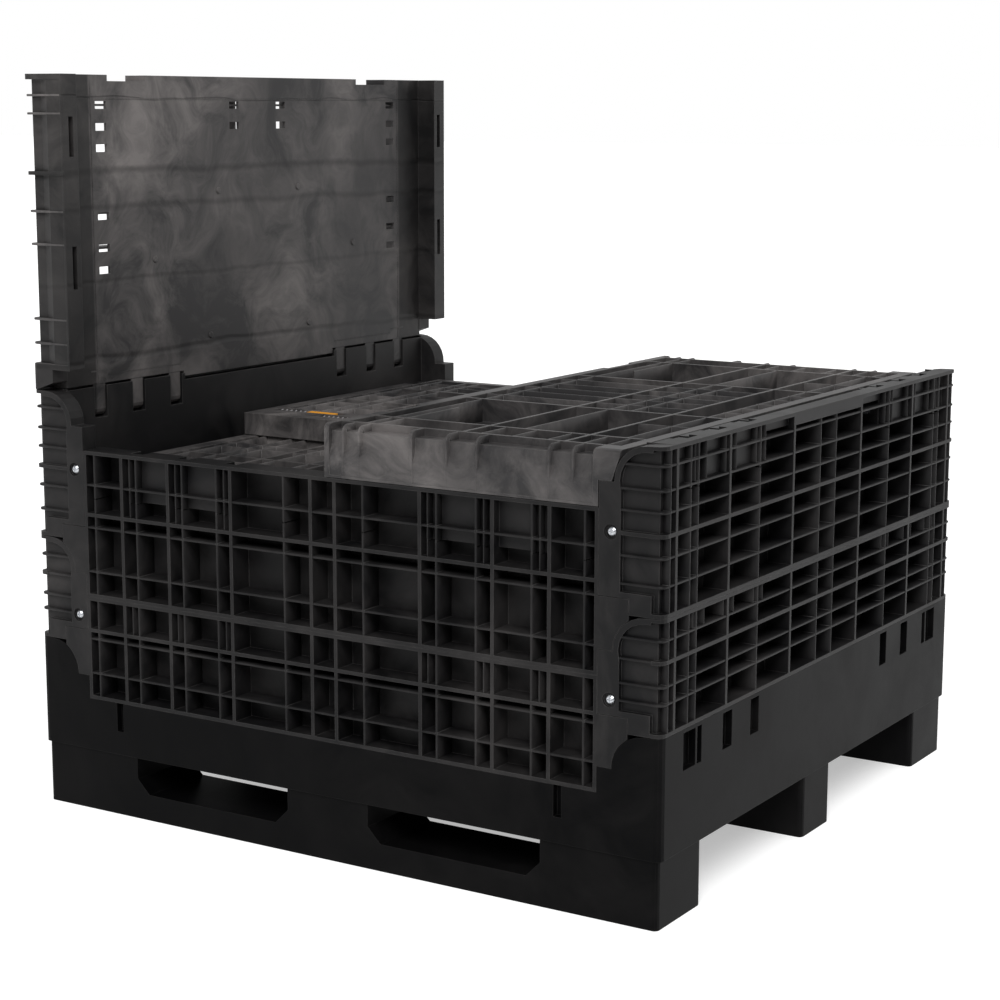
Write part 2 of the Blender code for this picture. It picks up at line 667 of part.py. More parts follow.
def runner(name, y_mid, width):
    """Three feet on one skid, hollow from below."""
    near, far = y_mid - width / 2, y_mid + width / 2
    end = HALF_L - FOOT_INSET
    foot_in, mid, ch = end - FOOT_END_W, FOOT_MID_W / 2, SKID_CHAMFER
    top = RUNNER_H - FACE_GAP
    half = [
        (end, 0.0), (end, top), (foot_in, top), (foot_in, SKID_H + ch), (foot_in - ch, SKID_H),
        (mid + ch, SKID_H), (mid, SKID_H + ch), (mid, top),
    ]
    points = half + [(-x, z) for x, z in reversed(half)]
    solid = outline(name, points, near, far, "XZ")
    round_upright_edges(solid, end, (near, far), FOOT_R)
    body = helper(name + "_body", solid)
    tall, low = top - FOOT_WALL, SKID_H - FOOT_WALL
    half_foot = (foot_in + end) / 2
    hollows = [(-mid, 0, tall), (0, mid, tall)]
    for s in (-1, 1):
        for a, b, high in ((mid, foot_in, low), (foot_in, half_foot, tall), (half_foot, end, tall)):
            hollows.append((*sorted((s * a, s * b)), high))
    rib = FOOT_WALL / 2
    cells = [
        ((a + rib, c, -0.01), (b - rib, d, high))
        for a, b, high in hollows
        for c, d in ((near + FOOT_WALL, y_mid - rib), (y_mid + rib, far - FOOT_WALL))
    ]
    return shape(name, body, (), [boxes(name + "_cells", cells)])


def base_deck():
    """The deck with its skirt, corner posts and rails, in one moulding."""
    name = "base_deck"
    bm = bmesh.new()
    add_box(bm, (-HALF_L, -HALF_W, RUNNER_H), (HALF_L, HALF_W, DECK_TOP))
    round_upright_edges(bm, HALF_L, (-HALF_W, HALF_W), CORNER_R)
    deck = helper(name + "_floor", bm)
    low = DECK_TOP - 0.01
    rail, end_wall_w = FLANGE_X + 0.002, FLANGE_Y + 0.002
    rails = boxes(
        name + "_rails",
        [((-rail, -HALF_W, low), (rail, -INNER_Y, SIDE_Z[0])), ((-rail, INNER_Y, low), (rail, HALF_W, SIDE_Z[0]))],
    )
    ends = boxes(
        name + "_ends",
        [((a, -end_wall_w, low), (b, end_wall_w, BASE_TOP)) for a, b in ((-HALF_L, -INNER_X), (INNER_X, HALF_L))],
    )
    joins = [rails, ends]
    for sx in (-1, 1):
        points = [(sx * x, z) for x, z in flange_points(low, BASE_TOP, False)]
        for near, far, y in ((-HALF_W, -FLANGE_Y, -HALF_W), (FLANGE_Y, HALF_W, HALF_W)):
            bm = outline("post", points, near, far, "XZ")
            round_upright_edges(bm, HALF_L, (y,), CORNER_R)
            joins.append(helper(f"{name}_post_{len(joins)}", bm))
    xs = [-INNER_X, -0.28, 0.0, 0.28, INNER_X]
    ys = [-INNER_Y, -0.18, 0.18, INNER_Y]
    cells = [
        ((a, c, RUNNER_H - 0.01), (b, d, DECK_TOP - DECK_SKIN))
        for a, b in spans(xs, 0.010)
        for c, d in spans(ys, 0.010)
    ]
    pockets = []
    low, high = (BASE_TOP - drop for drop in reversed(END_POCKET_Z))
    for s in (-1, 1):
        xa = sorted((s * (HALF_L - POCKET_D), s * (HALF_L + 0.01)))
        ya = sorted((s * (HALF_W - POCKET_D), s * (HALF_W + 0.01)))
        for t in (-1, 1):
            for near, far in END_POCKETS:
                yb = sorted((t * near, t * far))
                pockets.append(((xa[0], yb[0], low), (xa[1], yb[1], high)))
            xb = sorted((t * SIDE_POCKET[0], t * SIDE_POCKET[1]))
            pockets.append(((xb[0], ya[0], SIDE_Z[0] - SIDE_POCKET_DROP), (xb[1], ya[1], SIDE_Z[0] + 0.01)))
    wall_cells = []
    for s in (-1, 1):
        xa = sorted((s * (INNER_X + 0.012), s * (HALF_L - 0.016)))
        for a, b in spans([-0.53, -0.265, 0.0, 0.265, 0.53], 0.010):
            wall_cells.append(((xa[0], a, RUNNER_H - 0.01), (xa[1], b, BASE_TOP - 0.010)))
    hollows = (("_cells", cells), ("_pockets", pockets), ("_wall_cells", wall_cells))
    return shape(name, deck, joins, [boxes(name + end, places) for end, places in hollows])


def corner_screw():
    """A pan-head screw with a cross recess, head towards -Y, head's seat at the origin."""
    profile = [
        (0.0, HEAD_H), (HEAD_R * 0.7, HEAD_H * 0.9), (HEAD_R, HEAD_H * 0.3), (HEAD_R, 0.0), (SHANK_R, 0.0),
        (SHANK_R, -SHANK_L), (0.0, -SHANK_L),
    ]
    mesh = bpy.data.meshes.new("screw_profile")
    mesh.from_pydata([(r, 0, h) for r, h in profile], [(i, i + 1) for i in range(len(profile) - 1)], [])
    obj = bpy.data.objects.new("screw_profile", mesh)
    CUTTERS.objects.link(obj)
    obj.hide_render = True
    obj.display_type = "WIRE"
    mod = obj.modifiers.new("Turn", "SCREW")
    mod.steps = mod.render_steps = 12
    mod.use_merge_vertices = True
    mod.merge_threshold = 1e-5
    mod.use_normal_calculate = True
    low, high = HEAD_H - CROSS_D, HEAD_H + 0.004
    for a, b in ((CROSS_L / 2, CROSS_W / 2), (CROSS_W / 2, CROSS_L / 2)):
        combine(obj, boxes("screw_cross", [((-a, -b, low), (a, b, high))]), "DIFFERENCE")
    mesh = baked(obj, "corner_screw")
    mesh.transform(Matrix.Rotation(math.radians(90), 4, "X"))
    return mesh


def hinge_pin(length):
    bm = bmesh.new()
    add_rod(bm, (-length / 2, 0, 0), (length / 2, 0, 0), PIN_R, 12)
    mesh = mesh_from("hinge_pin", bm)
    mesh.shade_smooth()
    mesh.set_sharp_from_angle(angle=math.radians(40))
    return mesh


def build_fixed(black, base_black):
    part("base_deck", base_deck(), base_black)
    outer = HALF_W - 0.004 - OUTER_RUNNER_W / 2
    part("runner_front", runner("runner_front", -outer, OUTER_RUNNER_W), base_black)
    part("runner_middle", runner("runner_middle", 0.0, MID_RUNNER_W), base_black)
    part("runner_back", runner("runner_back", outer, OUTER_RUNNER_W), base_black)
    for index in (0, 1):
        mesh = end_panel(index)
        part(f"tier{index + 1}_end_right", mesh, black)
        part(f"tier{index + 1}_end_left", mesh.copy(), black, rotation=(0, 0, math.pi))
        for side, axis, turn in (("front", FRONT_AXIS, 0.0), ("back", BACK_AXIS, math.pi)):
            name, base, joins, cuts, top = side_panel(index)
            if index == 1:
                cuts += side_hinge_cuts(f"{name}_{side}", axis, top)
            mesh = shape(f"{name}_{side}", base, joins, cuts)
            part(f"tier{index + 1}_{side}", mesh, black, rotation=(0, 0, turn))


def build_walls(black):
    """The four folding walls, each with its origin on its hinge axis."""
    mesh = end_wall()
    x, z = END_AXIS
    part("wall_left", mesh.copy(), black, (-x, 0, z), (0, 0, math.pi))
    part("wall_right", mesh, black, (x, 0, z), (0, -math.pi / 2, 0))
    y, z = FRONT_AXIS
    part("wall_front", side_wall("wall_front", FRONT_AXIS), black, (0, -y, z), (math.pi / 2, 0, math.pi))
    y, z = BACK_AXIS
    part("wall_back", side_wall("wall_back", BACK_AXIS), black, (0, y, z), (math.pi / 2, 0, 0))


def build_latches(black, colours):
    """Two slides at each end of each long wall, lying folded with it."""
    for wall, axis, turn in (("front", FRONT_AXIS, math.pi), ("back", BACK_AXIS, 0.0)):
        place = (0, -axis[0] if wall == "front" else axis[0], axis[1])
        top = WALL_TOP - axis[1]
        for row in LATCH_ROWS:
            for side, label in ((-1, "left"), (1, "right")):
                if wall == "front":
                    label = "right" if side < 0 else "left"
                mesh, tab = latch_slide(row, side, top)
                stem, lying = f"{wall}_{label}_{row['name']}", (math.pi / 2, 0, turn)
                part(f"latch_slide_{stem}", mesh, black, place, lying)
                part(f"latch_tab_{stem}", latch_tab(row, tab, top), colours[row["name"]], place, lying)


def build_hardware(steel):
    """Corner screws and hinge pins."""
    screw = corner_screw()
    screw.shade_smooth()
    screw.set_sharp_from_angle(angle=math.radians(40))
    x = HALF_L - SCREW_X
    y = HALF_W - BORE_D + FACE_GAP
    for index in (0, 1):
        z = END_Z[index + 1] - SCREW_DROP
        for side, sx in (("left", -1), ("right", 1)):
            part(f"screw_front_{side}_{index + 1}", screw.copy(), steel, (sx * x, -y, z))
            part(f"screw_back_{side}_{index + 1}", screw.copy(), steel, (sx * x, y, z), (0, 0, math.pi))
    half = END_TONGUE_W / 2 + SLOT_SIDE_GAP
    a, b = pin_ends(END_KNUCKLES, half)
    mid, length = (a + b) / 2, b - a - 2 * GAP
    for side, sx in (("left", -1), ("right", 1)):
        for end, sy in (("front", -1), ("back", 1)):
            place = (sx * END_AXIS[0], sy * mid, END_AXIS[1])
            part(f"pin_{side}_wall_{end}", hinge_pin(length), steel, place, (0, 0, math.pi / 2))
    half = SIDE_TONGUE_W / 2 + SLOT_SIDE_GAP
    a, b = pin_ends(SIDE_KNUCKLES, half)
    mid, length = (a + b) / 2, b - a - 2 * GAP
    for wall, axis, sy in (("front", FRONT_AXIS, -1), ("back", BACK_AXIS, 1)):
        for side, sx in (("left", -1), ("right", 1)):
            part(f"pin_{wall}_wall_{side}", hinge_pin(length), steel, (sx * mid, sy * axis[0], axis[1]))


clear_scene()
PARTS = new_collection("collapsible_bulk_container")
CUTTERS = new_collection("cutters", hidden=True)
BLACK = material("black_plastic", (0.022, 0.022, 0.024), 0.55)
BASE_BLACK = material("base_plastic", (0.012, 0.012, 0.012), 0.45)
STEEL = material("zinc_steel", (0.72, 0.73, 0.75), 0.3, 1.0)
TABS = {
    "yellow": material("yellow_plastic", (0.80, 0.42, 0.03), 0.45),
    "blue": material("blue_plastic", (0.02, 0.03, 0.45), 0.45),
}
build_fixed(BLACK, BASE_BLACK)
build_walls(BLACK)
build_latches(BLACK, TABS)
build_hardware(STEEL)
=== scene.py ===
"""Dresses the collapsible bulk container: ribs, grips, marks, finishes and a stage."""

import math

import bmesh
import bpy
from mathutils import Euler, Matrix, Vector


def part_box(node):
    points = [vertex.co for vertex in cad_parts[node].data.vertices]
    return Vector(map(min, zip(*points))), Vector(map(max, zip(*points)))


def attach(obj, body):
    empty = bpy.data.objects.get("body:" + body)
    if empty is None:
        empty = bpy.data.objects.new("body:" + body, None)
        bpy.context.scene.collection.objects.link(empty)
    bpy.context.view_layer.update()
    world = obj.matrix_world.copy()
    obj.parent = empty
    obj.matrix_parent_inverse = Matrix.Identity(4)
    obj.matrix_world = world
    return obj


bl_info = {
    "name": "Bulk Container Dressing",
    "version": (1, 0, 0),
    "blender": (4, 5, 0),
    "location": "3D View > Sidebar > Bulk Container",
    "description": "Moulded ribs, latch grips, plastics and a stage for a collapsible bulk container",
    "category": "Object",
}

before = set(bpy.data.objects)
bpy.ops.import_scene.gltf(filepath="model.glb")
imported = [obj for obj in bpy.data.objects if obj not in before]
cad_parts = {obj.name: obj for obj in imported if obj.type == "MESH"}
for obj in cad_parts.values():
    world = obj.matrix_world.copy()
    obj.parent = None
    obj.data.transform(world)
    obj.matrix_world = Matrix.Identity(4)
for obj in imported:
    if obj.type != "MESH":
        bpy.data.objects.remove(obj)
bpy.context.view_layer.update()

# ---- places read from the frame, in metres ----
HALF_L, HALF_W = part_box("base_deck")[1].x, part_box("base_deck")[1].y
END_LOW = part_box("tier1_end_right")[0].z
END_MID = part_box("tier2_end_right")[0].z
END_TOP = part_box("tier2_end_right")[1].z
SIDE_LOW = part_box("tier1_front")[0].z
SIDE_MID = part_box("tier1_front")[1].z
SIDE_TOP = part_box("tier2_front")[1].z


def middle(node):
    low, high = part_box(node)
    return (low + high) / 2


END_PIN = middle("pin_right_wall_front")
FRONT_PIN = middle("pin_front_wall_left")
BACK_PIN = middle("pin_back_wall_left")
WALL_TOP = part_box("wall_left")[1].z

# ---- frames: first axis along, second up, third out of the face ----
TO_END = Matrix(((0, 0, 1, 0), (1, 0, 0, 0), (0, 1, 0, 0), (0, 0, 0, 1)))
TO_FRONT = Matrix(((1, 0, 0, 0), (0, 0, -1, 0), (0, 1, 0, 0), (0, 0, 0, 1)))
TO_BACK = Matrix(((-1, 0, 0, 0), (0, 0, 1, 0), (0, 1, 0, 0), (0, 0, 0, 1)))
NO_TURN, HALF_TURN = Matrix.Identity(4), Matrix.Rotation(math.pi, 4, "Z")


def placed(x, y, z, turn):
    return Matrix.Translation((x, y, z)) @ Euler(turn).to_matrix().to_4x4()


WALL_PLACE = {
    "wall_left": placed(-END_PIN.x, 0, END_PIN.z, (0, 0, math.pi)),
    "wall_right": placed(END_PIN.x, 0, END_PIN.z, (0, -math.pi / 2, 0)),
    "wall_front": placed(0, FRONT_PIN.y, FRONT_PIN.z, (math.pi / 2, 0, math.pi)),
    "wall_back": placed(0, BACK_PIN.y, BACK_PIN.z, (math.pi / 2, 0, 0)),
}

# ---- sizes shared by the ribs, in metres ----
POCKET = 0.042  # depth of the pockets between the ribs of a fixed panel
SIDE_KNUCKLE, END_KNUCKLE = 0.0155, 0.0125  # depth left over the hinge knuckles
ROW_DROP = 0.0003  # a row lies this far under the uprights that it crosses
FIN_DROP = 0.0004  # and a fin this far
GAP = 0.003  # space between a rib's end and the rim
OVERLAP = 0.002  # how far two lengths of one rib run into each other
BEND = 0.535  # half width at which a row hands over to its corner wrap
WRAP_IN, WRAP_DEPTH, WRAP_RADIUS = 0.0083, 0.0156, 0.004  # middle line, depth and bend
WALL_OUT = 0.032  # outer face of a folding wall, from its hinge line
END_FLOOR, SIDE_FLOOR = -0.008, -0.0035  # floor of its pockets, from its hinge line
END_WALL_T = 0.045  # thickness of a folding end wall
INSET = 0.0006  # how far the trim lies inside the base's faces


# ---- settings ----
class RibSizes(bpy.types.PropertyGroup):
    """Sizes of the moulded ribs."""

    width: bpy.props.FloatProperty(
        name="Rib Width", description="Thickness of a moulded rib", default=0.0038,
        min=0.002, unit="LENGTH",
    )
    fin: bpy.props.FloatProperty(
        name="Fin Width", description="Thickness of the thin fins at the knuckles",
        default=0.0022, min=0.001, unit="LENGTH",
    )
    lip: bpy.props.FloatProperty(
        name="Edge Rounding", description="Rounding along a rib's edges", default=0.0009,
        min=0.0001, unit="LENGTH",
    )
    sink: bpy.props.FloatProperty(
        name="Sink", description="How far the rib faces lie below the panel's face",
        default=0.0003, min=0.0, unit="LENGTH",
    )
    hatch: bpy.props.FloatProperty(
        name="Hatch Width", description="Thickness of the slanted ribs on a latch grip",
        default=0.0030, min=0.001, unit="LENGTH",
    )


class FinishColours(bpy.types.PropertyGroup):
    """Colours of the plastics and the steel."""

    panel: bpy.props.FloatVectorProperty(
        name="Panel", description="Fixed panels", default=(0.0048, 0.0047, 0.0051), size=3,
        subtype="COLOR",
    )
    wall: bpy.props.FloatVectorProperty(
        name="Wall", description="Folding walls", default=(0.0225, 0.0215, 0.0222), size=3,
        subtype="COLOR",
    )
    flow: bpy.props.FloatVectorProperty(
        name="Flow Streaks", description="Pale streaks in the reground plastic",
        default=(0.185, 0.170, 0.165), size=3, subtype="COLOR",
    )
    base: bpy.props.FloatVectorProperty(
        name="Base", description="Base and runners", default=(0.0016, 0.0016, 0.0018),
        size=3, subtype="COLOR",
    )
    # Colour of the painted highlight laid along every rounded edge.
    edge: bpy.props.FloatVectorProperty(
        name="Painted Edge Highlight", description="Painted highlight along the rib edges",
        default=(0.120, 0.115, 0.112), size=3, subtype="COLOR",
    )
    amber: bpy.props.FloatVectorProperty(
        name="Amber Tab", description="Outer latch tabs", default=(0.78, 0.33, 0.02),
        size=3, subtype="COLOR",
    )
    blue: bpy.props.FloatVectorProperty(
        name="Blue Tab", description="Inner latch tabs", default=(0.03, 0.06, 0.42), size=3,
        subtype="COLOR",
    )
    steel: bpy.props.FloatVectorProperty(
        name="Steel", description="Screws and hinge pins", default=(0.62, 0.64, 0.67),
        size=3, subtype="COLOR",
    )


class StageSettings(bpy.types.PropertyGroup):
    """The floor, the lights and the camera."""

    floor: bpy.props.FloatProperty(
        name="Floor Size", description="Side of the square floor", default=120.0, min=5.0,
        unit="LENGTH",
    )
    key: bpy.props.FloatProperty(
        name="Key Light", description="Strength of the main light", default=2.7, min=0.0,
    )
    fill: bpy.props.FloatProperty(
        name="Fill Light", description="Strength of the side light", default=0.7, min=0.0,
    )
    glow: bpy.props.FloatProperty(
        name="Floor Glow", description="How much the floor lights its own shadows",
        default=0.45, min=0.0,
    )
    lens: bpy.props.FloatProperty(
        name="Lens", description="Focal length of the camera", default=80.41, min=10.0,
        unit="CAMERA",
    )


# ---- materials ----
def wire(tree, node, inputs):
    """Sets a node's inputs; each one is a value or another node's output."""
    for key, value in inputs.items():
        if isinstance(value, bpy.types.NodeSocket):
            tree.links.new(value, node.inputs[key])
        else:
            node.inputs[key].default_value = value
    return node


def add(tree, kind, inputs=None, **settings):
    """A new node with its settings and inputs."""
    node = tree.nodes.new(kind)
    for key, value in settings.items():
        setattr(node, key, value)
    return wire(tree, node, inputs or {})


def calc(tree, operation, *values):
    """The output of a maths node."""
    return add(tree, "ShaderNodeMath", dict(enumerate(values)), operation=operation).outputs[0]


def ramp(tree, value, start, end, low=0.0, high=1.0, **settings):
    """The output of a node that maps start..end to low..high."""
    inputs = {"Value": value, "From Min": start, "From Max": end, "To Min": low, "To Max": high}
    return add(tree, "ShaderNodeMapRange", inputs, **settings).outputs[0]


def dent(tree, height, strength, distance, normal):
    """The output of a bump node that works on a normal."""
    inputs = {"Height": height, "Strength": strength, "Distance": distance, "Normal": normal}
    return add(tree, "ShaderNodeBump", inputs).outputs[0]


def noise(tree, place, scale, detail, **more):
    """A noise texture node."""
    inputs = {"Vector": place, "Scale": scale, "Detail": detail, **more}
    return add(tree, "ShaderNodeTexNoise", inputs)


def declare(tree, inputs, outputs):
    """Gives a tree its named inputs and outputs, and returns its two end nodes."""
    for label, kind, value in inputs:
        socket = tree.interface.new_socket(label, in_out="INPUT", socket_type=kind)
        if value is not None:
            socket.default_value = value
    for label, kind in outputs:
        tree.interface.new_socket(label, in_out="OUTPUT", socket_type=kind)
    return tree.nodes.new("NodeGroupInput"), tree.nodes.new("NodeGroupOutput")


def group_of(name, inputs, outputs):
    """A shader group, with the vector that it works on and its other inputs."""
    tree = bpy.data.node_groups.new(name, "ShaderNodeTree")
    given, result = declare(tree, [("Vector", "NodeSocketVector", None), *inputs], outputs)
    return tree, given.outputs, result.inputs


def group_node(tree, name, inputs):
    """A node that runs the shader group of that name."""
    return add(tree, "ShaderNodeGroup", inputs, node_tree=bpy.data.node_groups[name])


def flow_group():
    """Marbling left by the melt's flow: long bent streaks over broad clouds."""
    tree, given, result = group_of(
        "melt flow",
        [("Scale", "NodeSocketFloat", 3.0), ("Bend", "NodeSocketFloat", 0.55)],
        [("Streaks", "NodeSocketFloat"), ("Clouds", "NodeSocketFloat")],
    )
    place = given["Vector"]
    warp = noise(tree, place, given["Scale"], 2.0)
    shift = add(tree, "ShaderNodeVectorMath", {0: warp.outputs["Color"], "Scale": given["Bend"]},
                operation="SCALE")
    moved = add(tree, "ShaderNodeVectorMath", {0: place, 1: shift.outputs[0]}, operation="ADD")
    fine = noise(tree, moved.outputs[0], given["Scale"], 10.0, Roughness=0.68, Distortion=0.25)
    broad = noise(tree, place, 2.3, 3.0)
    tree.links.new(ramp(tree, fine.outputs["Fac"], 0.40, 0.66), result["Streaks"])
    tree.links.new(ramp(tree, broad.outputs["Fac"], 0.30, 0.60, 0.15), result["Clouds"])


def grain_group():
    """Height of a moulded skin: fine pitting with slow ripples under it."""
    tree, given, result = group_of(
        "mould skin",
        [("Pitting", "NodeSocketFloat", 0.4), ("Ripple", "NodeSocketFloat", 0.6)],
        [("Height", "NodeSocketFloat")],
    )
    pits = noise(tree, given["Vector"], 620.0, 2.0)
    slow = noise(tree, given["Vector"], 26.0, 3.0)
    low = calc(tree, "MULTIPLY", pits.outputs["Fac"], given["Pitting"])
    high = calc(tree, "MULTIPLY", slow.outputs["Fac"], given["Ripple"])
    tree.links.new(calc(tree, "ADD", low, high), result["Height"])


def edge_highlight_group():
    """Painted edge highlight: how far a rounded normal leans from the flat one, broken up by noise.
    """
    tree, given, result = group_of(
        "painted edge highlights",
        [("Radius", "NodeSocketFloat", 0.0016)],
        [("Mask", "NodeSocketFloat"), ("Normal", "NodeSocketVector")],
    )
    rounded = add(tree, "ShaderNodeBevel", {"Radius": given["Radius"]}, samples=4).outputs[0]
    flat = add(tree, "ShaderNodeNewGeometry").outputs["Normal"]
    lean = add(tree, "ShaderNodeVectorMath", {0: rounded, 1: flat}, operation="DOT_PRODUCT")
    mask = ramp(tree, lean.outputs["Value"], 0.995, 0.80)
    patches = noise(tree, given["Vector"], 21.0, 4.0)
    spread = ramp(tree, patches.outputs["Fac"], 0.30, 0.62, 0.25)
    # Mask of the painted highlight along the rounded edges; the rounded normal itself goes out as
    # Normal.
    tree.links.new(calc(tree, "MULTIPLY", mask, spread), result["Mask"])
    tree.links.new(rounded, result["Normal"])


# Height, half width and depth of the bands that the ribs leave on a wall's smooth face; each band
# dents the bump and darkens the colour as painted shade.
SINK_BANDS_AND_SHADE = (
    (1.217, 0.0025, 0.35), (1.092, 0.010, 0.40), (1.030, 0.009, 0.32), (0.905, 0.007, 0.22),
    (0.772, 0.008, 0.28),
)


def sink_and_shade_group():
    """An upright wall's smooth face: darker side strips, and bands along its ribs that dent the bump
    and darken the colour as painted shade.
    """
    tree, given, result = group_of(
        "sink dents and painted shade",
        [("Strip", "NodeSocketFloat", 0.462)],
        [("Shade", "NodeSocketFloat"), ("Height", "NodeSocketFloat")],
    )
    bend = noise(tree, given["Vector"], 7.0, 3.0)
    wander = ramp(tree, bend.outputs["Fac"], 0.0, 1.0, -0.012, 0.012)
    parts = add(tree, "ShaderNodeSeparateXYZ", {0: given["Vector"]})
    strip = calc(tree, "SUBTRACT", calc(tree, "ABSOLUTE", parts.outputs["Y"]), given["Strip"])
    side = ramp(tree, strip, -0.002, 0.002, 1.0, 0.30)
    lift = calc(tree, "ADD", parts.outputs["Z"], wander)
    total = None
    for level, spread, depth in SINK_BANDS_AND_SHADE:
        near = calc(tree, "ABSOLUTE", calc(tree, "SUBTRACT", lift, level))
        band = ramp(tree, near, 0.0, spread, depth, 0.0, interpolation_type="SMOOTHSTEP")
        total = band if total is None else calc(tree, "ADD", total, band)
    unshaded = calc(tree, "SUBTRACT", 1.0, total)
    # Shade: the bands' painted shade times the darker side strips.
    tree.links.new(calc(tree, "MULTIPLY", unshaded, side), result["Shade"])
    tree.links.new(calc(tree, "MULTIPLY", total, -1.0), result["Height"])


def blend_colours(tree, amount, first, second):
    """The output of a node that mixes two colours."""
    node = add(tree, "ShaderNodeMix", data_type="RGBA")
    keys = {socket.identifier: index for index, socket in enumerate(node.inputs)}
    wire(tree, node, {
        keys["Factor_Float"]: amount, keys["A_Color"]: first, keys["B_Color"]: second,
    })
    return next(socket for socket in node.outputs if socket.identifier == "Result_Color")


def opaque(colour):
    return (*colour, 1.0)


def new_material(name):
    """A material with its tree, its shader and the object's own coordinates."""
    mat = bpy.data.materials.new(name)
    mat.use_nodes = True
    tree = mat.node_tree
    place = add(tree, "ShaderNodeTexCoord").outputs["Object"]
    return tree, tree.nodes["Principled BSDF"], place


def plastic(name, body, flow, edge, flow_amount, highlight_strength, rough, ripple=0.6, scale=3.0,
            specular=0.35):
    """A moulded plastic with melt streaks, a pitted skin and a painted highlight on its rounded
    edges.
    """
    tree, shader, place = new_material(name)
    shader.inputs["Specular IOR Level"].default_value = specular
    melt = group_node(tree, "melt flow", {"Vector": place, "Scale": scale}).outputs
    skin = group_node(tree, "mould skin", {"Vector": place, "Ripple": ripple}).outputs
    edge_rounding_and_highlight = group_node(tree, "painted edge highlights", {"Vector": place}).outputs
    strength = calc(tree, "MULTIPLY", melt["Streaks"], melt["Clouds"])
    amount = calc(tree, "MULTIPLY", strength, flow_amount)
    # Painted highlight: the edge colour is mixed in along the rounded edges.
    highlight_amount = calc(tree, "MULTIPLY", edge_rounding_and_highlight["Mask"], highlight_strength)
    streaked = blend_colours(tree, amount, opaque(body), opaque(flow))
    wire(tree, shader, {
        "Base Color": blend_colours(tree, highlight_amount, streaked, opaque(edge)),
        "Roughness": ramp(tree, melt["Streaks"], 0.0, 1.0, rough, rough + 0.12),
        "Normal": dent(tree, skin["Height"], 0.35, 0.0006, edge_rounding_and_highlight["Normal"]),
    })


def zinc(name, colour):
    """Bright zinc plate with fine turning marks."""
    tree, shader, place = new_material(name)
    shader.inputs["Metallic"].default_value = 1.0
    spots = noise(tree, place, 420.0, 4.0).outputs["Fac"]
    dull = opaque([0.72 * part for part in colour])
    wire(tree, shader, {
        "Base Color": blend_colours(tree, spots, opaque(colour), dull),
        "Roughness": ramp(tree, spots, 0.0, 1.0, 0.22, 0.42),
    })


def shade_upright_wall(mat):
    """Lays the sink bands over a plastic's bump and their painted shade, with the darker side strips,
    over its colour.
    """
    tree = mat.node_tree
    shader = tree.nodes["Principled BSDF"]
    place = add(tree, "ShaderNodeTexCoord").outputs["Object"]
    bands = group_node(tree, "sink dents and painted shade", {"Vector": place}).outputs
    colour, below = (shader.inputs[key].links[0].from_socket for key in ("Base Color", "Normal"))
    # Painted shade: the colour is scaled down along the bands and in the side strips.
    dimmed = add(tree, "ShaderNodeVectorMath", {0: colour, "Scale": bands["Shade"]},
                 operation="SCALE")
    dents = dent(tree, bands["Height"], 0.6, 0.004, below)
    wire(tree, shader, {"Base Color": dimmed.outputs[0], "Normal": dents})


def finish_of(name):
    return bpy.data.materials[name]


# ---- moulded ribs ----
def shape_tree(name, inputs):
    """A geometry tree with its end nodes."""
    tree = bpy.data.node_groups.new(name, "GeometryNodeTree")
    first, last = ("Geometry", "NodeSocketGeometry", None), ("Material", "NodeSocketMaterial", None)
    given, result = declare(tree, [first, *inputs, last], [first[:2]])
    return tree, given.outputs, result.inputs["Geometry"]


def coat(tree, shape, finish, result):
    """Ends a geometry tree: realizes its instances and sets their material."""
    solid = add(tree, "GeometryNodeRealizeInstances", {"Geometry": shape})
    coated = add(tree, "GeometryNodeSetMaterial",
                 {"Geometry": solid.outputs[0], "Material": finish})
    tree.links.new(coated.outputs[0], result)


def rib_tree():
    """Turns the lines of a mesh into closed ribs of rounded rectangular section."""
    tree, given, result = shape_tree("moulded ribs", [
        ("Width", "NodeSocketFloat", 0.005), ("Depth", "NodeSocketFloat", 0.04),
        ("Edge", "NodeSocketFloat", 0.0009),
    ])
    lines = add(tree, "GeometryNodeMeshToCurve", {"Mesh": given["Geometry"]})
    level = add(tree, "GeometryNodeSetCurveNormal", {"Curve": lines.outputs[0]}, mode="Z_UP")
    section = add(tree, "GeometryNodeCurvePrimitiveQuadrilateral",
                  {"Width": given["Width"], "Height": given["Depth"]})
    eased = add(tree, "GeometryNodeFilletCurve",
                {"Curve": section.outputs[0], "Radius": given["Edge"], "Count": 1}, mode="POLY")
    swept = add(tree, "GeometryNodeCurveToMesh",
                {"Curve": level.outputs[0], "Profile Curve": eased.outputs[0], "Fill Caps": True})
    coat(tree, swept.outputs[0], given["Material"], result)


def boss_tree():
    """Puts a low round boss on every point of a mesh."""
    tree, given, result = shape_tree("gate marks", [
        ("Radius", "NodeSocketFloat", 0.006), ("Height", "NodeSocketFloat", 0.0012),
    ])
    rim = calc(tree, "MULTIPLY", given["Radius"], 0.72)
    disc = add(tree, "GeometryNodeMeshCone", {
        "Vertices": 20, "Radius Top": rim, "Radius Bottom": given["Radius"],
        "Depth": given["Height"],
    })
    spread = add(tree, "GeometryNodeInstanceOnPoints",
                 {"Points": given["Geometry"], "Instance": disc.outputs["Mesh"]})
    coat(tree, spread.outputs[0], given["Material"], result)


def made_by(tree, points, edges, values, place=None):
    """The plain mesh that a tree makes from points and edges, moved to its place."""
    inputs = [item for item in tree.interface.items_tree if item.in_out == "INPUT"]
    names = {item.name: item.identifier for item in inputs}
    mesh = bpy.data.meshes.new("guide")
    mesh.from_pydata(points, edges, [])
    carrier = bpy.data.objects.new("guide", mesh)
    bpy.context.scene.collection.objects.link(carrier)
    work = carrier.modifiers.new("Work", "NODES")
    work.node_group = tree
    for label, value in values.items():
        work[names[label]] = value
    graph = bpy.context.evaluated_depsgraph_get()
    made = bpy.data.meshes.new_from_object(carrier.evaluated_get(graph), depsgraph=graph)
    bpy.data.objects.remove(carrier)
    made.transform(place or NO_TURN)
    return made


